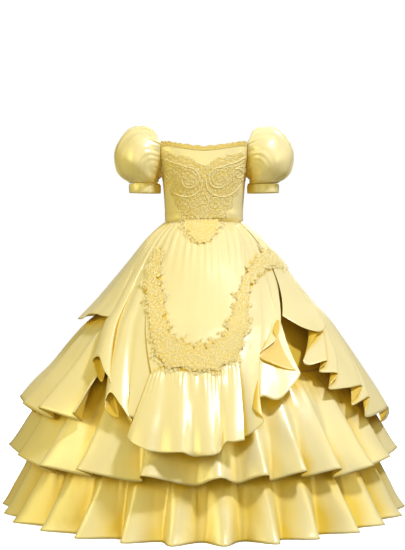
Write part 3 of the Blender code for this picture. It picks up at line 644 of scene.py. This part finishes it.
def petal(turn, reach, width, height, start=0.12):
    """A pointed oval lying outwards from the middle, turned about +Z."""
    cosine, sine = math.cos(turn), math.sin(turn)
    outline = ((start, 0), (0.45 * reach, -width), (0.85 * reach, -0.6 * width), (reach, 0),
               (0.85 * reach, 0.6 * width), (0.45 * reach, width))
    spun = [(x * cosine - y * sine, x * sine + y * cosine, 0.03) for x, y in outline]
    peak = 0.62 * reach
    return spun, (peak * cosine, peak * sine, height), (peak * cosine, peak * sine, -0.06)


def round_bead(size, height):
    ring = [(size * math.cos(a), size * math.sin(a), 0.06)
            for a in np.linspace(0, 2 * math.pi, 7)[:-1]]
    return ring, (0, 0, height), (0, 0, -0.05)


BLOSSOM = [petal(2 * math.pi * k / 5, 1.0, 0.30, 0.26) for k in range(5)] + [round_bead(0.24, 0.42)]
SPRAY = [petal(a, r, 0.20, 0.22, 0.0) for a, r in ((-0.75, 0.8), (0.0, 1.0), (0.75, 0.8))]
BEAD = [round_bead(1.0, 1.3)]


def lace_scatter_tree():
    """Geometry Nodes: sews a motif all over a field, spaced, spun and sized at random."""
    tree = bpy.data.node_groups.new("lace_scatter", "GeometryNodeTree")
    tree.interface.new_socket("Field", in_out="INPUT", socket_type="NodeSocketGeometry")
    tree.interface.new_socket("Motif", in_out="INPUT", socket_type="NodeSocketObject")
    for label in ("Spacing", "Smallest", "Largest"):
        tree.interface.new_socket(label, in_out="INPUT", socket_type="NodeSocketFloat")
    tree.interface.new_socket("Seed", in_out="INPUT", socket_type="NodeSocketInt")
    tree.interface.new_socket("Thread", in_out="INPUT", socket_type="NodeSocketMaterial")
    tree.interface.new_socket("Lace", in_out="OUTPUT", socket_type="NodeSocketGeometry")
    nodes, links = tree.nodes, tree.links
    given, made = nodes.new("NodeGroupInput"), nodes.new("NodeGroupOutput")
    sown = nodes.new("GeometryNodeDistributePointsOnFaces")
    sown.distribute_method = "POISSON"
    sown.inputs["Density Max"].default_value = 400000.0
    links.new(given.outputs["Field"], sown.inputs["Mesh"])
    links.new(given.outputs["Spacing"], sown.inputs["Distance Min"])
    links.new(given.outputs["Seed"], sown.inputs["Seed"])
    spin = nodes.new("FunctionNodeRandomValue")
    spin.data_type = "FLOAT"
    spin.inputs[3].default_value = 2 * math.pi
    links.new(given.outputs["Seed"], spin.inputs["Seed"])
    about = nodes.new("FunctionNodeAxisAngleToRotation")
    links.new(spin.outputs[1], about.inputs["Angle"])
    facing = nodes.new("FunctionNodeRotateRotation")
    facing.rotation_space = "LOCAL"
    links.new(sown.outputs["Rotation"], facing.inputs["Rotation"])
    links.new(about.outputs["Rotation"], facing.inputs["Rotate By"])
    size = nodes.new("FunctionNodeRandomValue")
    size.data_type = "FLOAT"
    links.new(given.outputs["Smallest"], size.inputs[2])
    links.new(given.outputs["Largest"], size.inputs[3])
    links.new(given.outputs["Seed"], size.inputs["Seed"])
    shape = nodes.new("GeometryNodeObjectInfo")
    links.new(given.outputs["Motif"], shape.inputs["Object"])
    sewn = nodes.new("GeometryNodeInstanceOnPoints")
    links.new(sown.outputs["Points"], sewn.inputs["Points"])
    links.new(shape.outputs["Geometry"], sewn.inputs["Instance"])
    links.new(facing.outputs["Rotation"], sewn.inputs["Rotation"])
    links.new(size.outputs[1], sewn.inputs["Scale"])
    real = nodes.new("GeometryNodeRealizeInstances")
    links.new(sewn.outputs["Instances"], real.inputs["Geometry"])
    thread = nodes.new("GeometryNodeSetMaterial")
    links.new(real.outputs["Geometry"], thread.inputs["Geometry"])
    links.new(given.outputs["Thread"], thread.inputs["Material"])
    links.new(thread.outputs["Geometry"], made.inputs["Lace"])
    return tree


def lace_cord_tree():
    """Geometry Nodes: lays a round cord of one radius along a line of points."""
    tree = bpy.data.node_groups.new("lace_cord", "GeometryNodeTree")
    tree.interface.new_socket("Line", in_out="INPUT", socket_type="NodeSocketGeometry")
    tree.interface.new_socket("Radius", in_out="INPUT", socket_type="NodeSocketFloat")
    tree.interface.new_socket("Thread", in_out="INPUT", socket_type="NodeSocketMaterial")
    tree.interface.new_socket("Cord", in_out="OUTPUT", socket_type="NodeSocketGeometry")
    nodes, links = tree.nodes, tree.links
    given, made = nodes.new("NodeGroupInput"), nodes.new("NodeGroupOutput")
    line = nodes.new("GeometryNodeMeshToCurve")
    links.new(given.outputs["Line"], line.inputs["Mesh"])
    ring = nodes.new("GeometryNodeCurvePrimitiveCircle")
    ring.inputs["Resolution"].default_value = 6
    links.new(given.outputs["Radius"], ring.inputs["Radius"])
    tube = nodes.new("GeometryNodeCurveToMesh")
    tube.inputs["Fill Caps"].default_value = True
    links.new(line.outputs["Curve"], tube.inputs["Curve"])
    links.new(ring.outputs["Curve"], tube.inputs["Profile Curve"])
    real = nodes.new("GeometryNodeRealizeInstances")
    links.new(tube.outputs["Mesh"], real.inputs["Geometry"])
    thread = nodes.new("GeometryNodeSetMaterial")
    links.new(real.outputs["Geometry"], thread.inputs["Geometry"])
    links.new(given.outputs["Thread"], thread.inputs["Material"])
    links.new(thread.outputs["Geometry"], made.inputs["Cord"])
    return tree


scatter_tree, cord_tree = lace_scatter_tree(), lace_cord_tree()


def made_by(tree, start, values):
    """Runs a tree on a start mesh and returns the finished plain mesh."""
    holder = bpy.data.objects.new("holder", start)
    bpy.context.scene.collection.objects.link(holder)
    step = holder.modifiers.new("Make", "NODES")
    step.node_group = tree
    for item in tree.interface.items_tree:
        if item.in_out == "INPUT" and item.name in values:
            step[item.identifier] = values[item.name]
    ready = bpy.context.evaluated_depsgraph_get()
    mesh = bpy.data.meshes.new_from_object(holder.evaluated_get(ready))
    bpy.data.objects.remove(holder)
    return mesh


def field_mesh(points):
    """A plain one-sided mesh over a grid of points, to sew motifs on."""
    columns, rows = points.shape[:2]
    i = np.arange(columns - 1)[:, None]
    j = np.arange(rows - 1)[None, :]
    corners = np.stack([i * rows + j, i * rows + j + 1, (i + 1) * rows + j + 1, (i + 1) * rows + j], -1)
    mesh = bpy.data.meshes.new("field")
    mesh.from_pydata(points.reshape(-1, 3).tolist(), [], corners.reshape(-1, 4).tolist())
    mesh.update()
    return mesh


def cord_lines(lines):
    """One mesh of loose edges along several runs of points."""
    points, edges = [], []
    for line in lines:
        edges += [(len(points) + k, len(points) + k + 1) for k in range(len(line) - 1)]
        points += [tuple(spot) for spot in line]
    mesh = bpy.data.meshes.new("lines")
    mesh.from_pydata(points, edges, [])
    return mesh


def raised_lace(name, fields, lines, node, seed):
    """Blossoms, leaf sprays, beads and cords of one lace piece, joined in one mesh."""
    parts = []
    for points, shapes, spacing, smallest, largest in fields:
        seed += 1
        shape = motif("motif", shapes)
        parts.append(made_by(scatter_tree, field_mesh(points), {
            "Motif": shape, "Spacing": spacing, "Smallest": smallest, "Largest": largest,
            "Seed": seed, "Thread": cord_thread}))
        bpy.data.objects.remove(shape)
    for radius, runs in lines:
        parts.append(made_by(cord_tree, cord_lines(runs), {"Radius": radius, "Thread": cord_thread}))
    whole = bmesh.new()
    for part in parts:
        whole.from_mesh(part)
    mesh = bpy.data.meshes.new(name)
    whole.to_mesh(mesh)
    whole.free()
    mesh.materials.clear()
    mesh.materials.append(cord_thread)
    mesh.polygons.foreach_set("material_index", [0] * len(mesh.polygons))
    piece = bpy.data.objects.new(name, mesh)
    bpy.context.scene.collection.objects.link(piece)
    fit_on_dress(piece, node, slot="lace")
    return piece


LACE_FULLNESS = ((0, 1.1), (3, 1.0), (8, 1.0), (13, 1.0), (15, 0.8), (16.5, 0.85), (17.5, 1.3),
                 (18.5, 1.9), (19.5, 1.9), (20.3, 1.2), (21, 0.6))


def skirt_lace(count, shares, rise, ragged=0.20):
    """Grid along the lace band: shares run from its inner to its outer edge, -1 to 1."""
    along = np.linspace(0, len(LACE_PATH) - 1, count)
    middle_deg, middle_height, band = [through_rows([(i, row[n]) for i, row in enumerate(LACE_PATH)], along)
                                       for n in range(3)]
    arc = np.radians(middle_deg) * through_rows(PANEL_RADIUS, middle_height)
    step_arc, step_up = np.gradient(arc), np.gradient(middle_height)
    size = np.hypot(step_arc, step_up)
    run = np.concatenate([[0], np.cumsum(np.hypot(np.diff(arc), np.diff(middle_height)))])
    shares = np.array(shares)[None, :]
    inner = crumple(run, 0 * run, 0.022, 3, 7)[:, None]
    outer = crumple(run, 0 * run, 0.022, 9, 7)[:, None]
    edge = (band / 2 * through_rows(LACE_FULLNESS, along))[:, None]
    across = shares * edge * (1 + ragged * np.where(shares > 0, inner, outer) + 0.06)
    turn = across * (-step_up / size)[:, None] / through_rows(PANEL_RADIUS, middle_height)[:, None]
    degrees = middle_deg[:, None] + np.degrees(turn)
    height = middle_height[:, None] + 0.75 * across * (step_arc / size)[:, None]
    down = (WAIST - height) / (WAIST - 0.37)
    ease = 0.0033 + 0.0029 * np.clip(down, 0, 1)
    lift = 0.0050 + WAIST_GATHER * gather_swell(np.clip(down, 0, 1))
    return on_skirt(through_rows(PANEL_RADIUS, height) + ease + lift + rise, degrees, height), run


net_points, run = skirt_lace(420, np.linspace(1, -1, 9), 0.0)
ground = sew_cloth("apron_lace_net", net_points, 0.5, wall=0.0005, material=net)
fit_on_dress(ground, "apron_lace", slot="lace")
field, _ = skirt_lace(400, np.linspace(1.22, -1.22, 9), 0.0009, ragged=0.34)
lines = []
for swing, shift in ((0.62, 0.0), (0.62, math.pi), (0.30, 1.2)):
    whole, run = skirt_lace(700, np.linspace(1, -1, 41), 0.0011)
    place = 20 - 20 * swing * np.sin(2 * math.pi * run / 0.052 + shift)
    lines.append(whole[np.arange(700), np.round(place).astype(int)])
flowers = raised_lace("apron_lace_flowers",
                      ((field, BLOSSOM, 0.0100, 0.0036, 0.0062), (field, SPRAY, 0.0058, 0.0026, 0.0046),
                       (field, BEAD, 0.0050, 0.0007, 0.0011)),
                      ((0.0006, lines),), "apron_lace", 7)

# Lace on the bodice
# A shaped applique of the same lace over the bust and drawn in to the waist, with corded scrolls
# round each bust, a scalloped edging on the neckline and a tip that spills over the waist seam.
BODICE_LACE_EDGE = ((0.7035, 28), (0.728, 40), (0.752, 44), (0.7765, 52), (0.803, 60), (0.832, 59),
                    (0.855, 48), (0.868, 41))


def front_degrees(x, height):
    """Angle on the bodice's front of a point x across from the middle."""
    half_width = through_rows([(r[0], r[1]) for r in BODICE_RINGS], height)
    power = through_rows(BODICE_SQUARENESS, height)
    share = np.clip(np.abs(x) / half_width, 0, 1) ** (1 / power)
    return np.degrees(np.arcsin(share)) * np.sign(x)


def bodice_lace(columns, rows, out, wider=1.0):
    """Grid over the applique: it dips between the busts and its sides are uneven lobes."""
    across = np.linspace(-wider, wider, columns)[:, None]
    share = np.abs(across) / wider
    top = 0.867 - 0.020 * (1 - share) ** 0.8 - 0.017 * np.exp(-(across / 0.13) ** 2)
    top = top + 0.0016 * crumple(across, 0 * across, 0.16, 5, 6)
    height = top + (0.7035 - top) * np.linspace(0, 1, rows)[None, :]
    lobes = 1 + 0.045 * crumple(height, 0.05 * np.sign(across), 0.020, 15, 7) * share ** 3
    return on_bodice(across * through_rows(BODICE_LACE_EDGE, height) * lobes, height, out)


def scroll(knots, out=0.0038, fine=9):
    """A cord on the bodice through (x, height) points, smoothly, both as drawn and mirrored."""
    steps = np.linspace(0, len(knots) - 1, (len(knots) - 1) * fine + 1)
    x = through_rows([(i, k[0]) for i, k in enumerate(knots)], steps)
    height = through_rows([(i, k[1]) for i, k in enumerate(knots)], steps)
    return [on_bodice(front_degrees(side * x, height), height, out) for side in (1, -1)]


def volute(x, height, size, start, sweep, inner=0.25):
    """Knots of a C-scroll: a spiral about (x, height), angles in degrees."""
    turns = np.radians(np.linspace(start, start + sweep, 12))
    reach = np.linspace(size, size * inner, 12)
    return [(x + r * math.cos(a), height + r * math.sin(a)) for a, r in zip(turns, reach)]


net_points = bodice_lace(90, 60, 0.0026)
ground = sew_cloth("bodice_lace_net", net_points, 0.5, wall=0.0005, material=net)
fit_on_dress(ground, "bodice_lace", slot="lace")
field = bodice_lace(90, 70, 0.0032, 1.07)
thick_runs = (scroll(volute(0.036, 0.796, 0.030, 80, 330, 0.40))
              + scroll(((0.095, 0.850), (0.076, 0.839), (0.056, 0.832), (0.041, 0.8255)))
              + scroll(((0.003, 0.798), (0.009, 0.772), (0.028, 0.757), (0.052, 0.756), (0.071, 0.767),
                        (0.086, 0.785)))
              + scroll(volute(0.080, 0.810, 0.014, 120, -380, 0.3)))
thin_runs = (scroll(volute(0.036, 0.796, 0.024, 60, 300, 0.30))
             + scroll(((0.090, 0.838), (0.072, 0.829), (0.054, 0.826), (0.040, 0.819)))
             + scroll(((0.093, 0.828), (0.080, 0.826), (0.068, 0.812), (0.069, 0.790), (0.080, 0.776)))
             + scroll(volute(0.026, 0.738, 0.015, 60, 400)) + scroll(volute(0.051, 0.741, 0.012, 150, -380))
             + scroll(volute(0.016, 0.714, 0.010, 100, 380)) + scroll(volute(0.037, 0.716, 0.010, 200, -380))
             + scroll(((0.003, 0.762), (0.010, 0.743), (0.003, 0.723), (0.009, 0.706))))
flowers = raised_lace("bodice_lace_flowers",
                      ((field, BLOSSOM, 0.0095, 0.0034, 0.0056), (field, SPRAY, 0.0050, 0.0024, 0.0042),
                       (field, BEAD, 0.0042, 0.0006, 0.0010)),
                      ((0.0014, thick_runs), (0.0009, thin_runs)), "bodice_lace", 19)

degrees = np.linspace(-48, 48, 241)[:, None]
edge = through_rows(NECK_EDGE, np.abs(degrees))
rise = 0.0012 + 0.0030 * np.abs(np.sin(math.pi * (degrees + 1.2 * np.sin(degrees * 0.31)) / 7.0))
share = np.linspace(0, 1, 7)[None, :]
height = np.minimum(edge + rise - (0.0085 + rise) * share, 0.8900)
net_points = on_bodice(degrees + 0 * height, height, 0.0021 - 0.0007 * share + 0 * degrees)
edging = sew_cloth("neck_lace_net", net_points, 0.6, wall=0.0005, material=net)
fit_on_dress(edging, "neck_lace", slot="lace")
inside = on_bodice(degrees + 0 * height, height, 0.0027)
flowers = raised_lace("neck_lace_flowers",
                      ((inside, SPRAY, 0.0052, 0.0020, 0.0034), (inside, BEAD, 0.0040, 0.0005, 0.0008)),
                      ((0.0005, [inside[:, 0]]),), "neck_lace", 29)

WAIST_LACE_EDGE = ((0.645, 4), (0.656, 10), (0.668, 16), (0.680, 22), (0.692, 26), (0.7005, 27))
height = np.linspace(0.7005, 0.645, 30)[None, :]
across = np.linspace(-1, 1, 25)[:, None]
lobes = 1 + 0.12 * crumple(height, 0.05 * np.sign(across), 0.013, 25, 7) * np.abs(across) ** 3
degrees = across * through_rows(WAIST_LACE_EDGE, height) * lobes - 2.5
net_points = on_skirt(through_rows(WAIST_LACE_RADIUS, height) + 0 * degrees, degrees * 0.88, height)
tip = sew_cloth("waist_lace_net", net_points, 0.5, wall=0.0005, material=net)
fit_on_dress(tip, "waist_lace", slot="lace")
inside = on_skirt(through_rows(WAIST_LACE_RADIUS, height) + 0.0009 + 0 * degrees, degrees * 1.10, height)
flowers = raised_lace("waist_lace_flowers",
                      ((inside, BLOSSOM, 0.0095, 0.0034, 0.0056), (inside, SPRAY, 0.0050, 0.0024, 0.0042),
                       (inside, BEAD, 0.0042, 0.0006, 0.0010)), (), "waist_lace", 41)

# Painted shade of the folds
# Painted shade: the satin is painted deeper gold where a point faces little open air, under each flounce and
# inside each fold, and paler where it faces open air. Every point keeps how much open air it faces.
spots, quads, first = [], [], 0
for mesh, columns, rows, closed, tone in cloth_grids:
    spots.extend(v.co.copy() for v in mesh.vertices)
    quads.extend([first + k for k in face.vertices] for face in mesh.polygons)
    first += len(mesh.vertices)
screen = BVHTree.FromPolygons(spots, quads)
chance = np.random.default_rng(5)
spread = chance.normal(size=(14, 3))
spread /= np.linalg.norm(spread, axis=1, keepdims=True)
FOLD_REACH = 0.16
for mesh, columns, rows, closed, tone in cloth_grids:
    flat_spots = np.zeros(columns * rows * 3, np.float32)
    mesh.vertices.foreach_get("co", flat_spots)
    flat_normals = np.zeros(columns * rows * 3, np.float32)
    mesh.vertex_normals.foreach_get("vector", flat_normals)
    grid = flat_spots.reshape(columns, rows, 3)
    normal = flat_normals.reshape(columns, rows, 3)
    some = np.arange(0, columns, 2)
    level = np.unique(np.append(np.arange(0, rows, 3), rows - 1))
    start = (grid + normal * 0.0022)[some][:, level].reshape(-1, 3)
    facing = normal[some][:, level].reshape(-1, 3)
    free = np.zeros(len(start))
    for k, (spot, aim) in enumerate(zip(start, facing)):
        rays = aim * 1.05 + spread
        here = Vector(spot)
        free[k] = sum(screen.ray_cast(here, Vector(ray), FOLD_REACH)[0] is None for ray in rays)
    free = (free / len(spread)).reshape(len(some), len(level))
    wide = np.stack([np.interp(np.arange(rows), level, line) for line in free])
    period = columns if closed else None
    full = np.stack([np.interp(np.arange(columns), some, wide[:, j], period=period)
                     for j in range(rows)], axis=1)
    for _ in range(3):
        padded = np.pad(full, ((1, 1), (1, 1)), mode="edge")
        full = (padded[:-2, 1:-1] + padded[2:, 1:-1] + padded[1:-1, :-2] + padded[1:-1, 2:]
                + 2 * full) / 6
    # Painted light and shade: open places paler, enclosed ones deeper gold, with the painted fold tone added.
    shade = np.clip(full * 1.8 - 0.70, 0, 1) + 0.6 * (tone - 0.5)
    mesh.attributes["open"].data.foreach_set("value", shade.ravel())
    mesh.update()

# Floor, light and camera
# A round pale studio floor under a white surround, one firm key light from the viewer's upper
# right, golden fill on the dress, and the camera at the photograph's angle.
rim = [(2.5 * math.cos(a), 2.5 * math.sin(a), -WAIST) for a in np.linspace(0, 2 * math.pi, 97)[:-1]]
floor_mesh = bpy.data.meshes.new("studio_floor")
floor_mesh.from_pydata(rim, [], [tuple(range(96))])
floor = bpy.data.objects.new("studio_floor", floor_mesh)
bpy.context.scene.collection.objects.link(floor)
paper = bpy.data.materials.new("studio_paper")
paper.use_nodes = True
paper.node_tree.nodes["Principled BSDF"].inputs["Base Color"].default_value = (0.90, 0.90, 0.90, 1)
paper.node_tree.nodes["Principled BSDF"].inputs["Roughness"].default_value = 0.9
floor_mesh.materials.append(paper)
floor.visible_diffuse = False
floor.visible_glossy = False

world = bpy.context.scene.world or bpy.data.worlds.new("studio")
bpy.context.scene.world = world
world.use_nodes = True
surround = world.node_tree.nodes["Background"]
surround.inputs["Color"].default_value = (1.0, 1.0, 1.0, 1)
seen = world.node_tree.nodes.new("ShaderNodeLightPath")
level = world.node_tree.nodes.new("ShaderNodeMath")
level.operation = "MULTIPLY_ADD"
level.inputs[1].default_value = 0.92
level.inputs[2].default_value = 0.08
world.node_tree.links.new(seen.outputs["Is Camera Ray"], level.inputs[0])
world.node_tree.links.new(level.outputs[0], surround.inputs["Strength"])
bpy.context.scene.view_settings.view_transform = "Standard"

dress_only = bpy.data.collections.new("dress_only")
for piece in list(bpy.context.scene.collection.objects):
    if piece.type == "MESH" and piece != floor:
        dress_only.objects.link(piece)
floor_only = bpy.data.collections.new("floor_only")
floor_only.objects.link(floor)


def studio_light(name, spot, aim, energy, size, colour=(1, 1, 1), onto=None):
    """A square soft light at spot, turned to aim, lighting everything or one collection."""
    lamp = bpy.data.lights.new(name, "AREA")
    lamp.energy = energy
    lamp.size = size
    lamp.color = colour
    light = bpy.data.objects.new(name, lamp)
    light.location = spot
    light.rotation_euler = (Vector(aim) - Vector(spot)).to_track_quat("-Z", "Y").to_euler()
    light.visible_camera = False
    light.light_linking.receiver_collection = onto
    bpy.context.scene.collection.objects.link(light)


GOLD = (1.0, 0.84, 0.26)
studio_light("key", (1.55, -1.75, 2.75), (0, 0, -0.3), 100, 0.45, (0.95, 0.97, 1.0))
studio_light("fill_front", (-0.3, -3.7, 0.5), (0, 0, -0.3), 36, 2.4, GOLD, dress_only)
studio_light("fill_left", (-3.0, -1.5, 0.8), (0, 0, -0.3), 66, 2.0, GOLD, dress_only)
studio_light("fill_right", (3.0, -1.2, 0.6), (0, 0, -0.3), 34, 2.0, GOLD, dress_only)
studio_light("fill_back", (0.6, 3.2, 1.6), (0, 0, -0.3), 130, 2.0, (1.0, 0.92, 0.66), dress_only)
studio_light("fill_above", (0, 0.2, 3.2), (0, 0, 0), 8, 2.0, GOLD, dress_only)
studio_light("floor_light", (0, 0, 4.0), (0, 0.01, -0.7), 640, 6.0, (1, 1, 1), floor_only)

view = bpy.data.cameras.new("photo_camera")
view.lens = 89.9
view.sensor_width = 36.0
camera = bpy.data.objects.new("photo_camera", view)
camera.location = (-0.0037, -3.4, 0.663 - WAIST)
camera.rotation_euler = (math.radians(90 - 1.67), 0, 0)
bpy.context.scene.collection.objects.link(camera)
bpy.context.scene.camera = camera
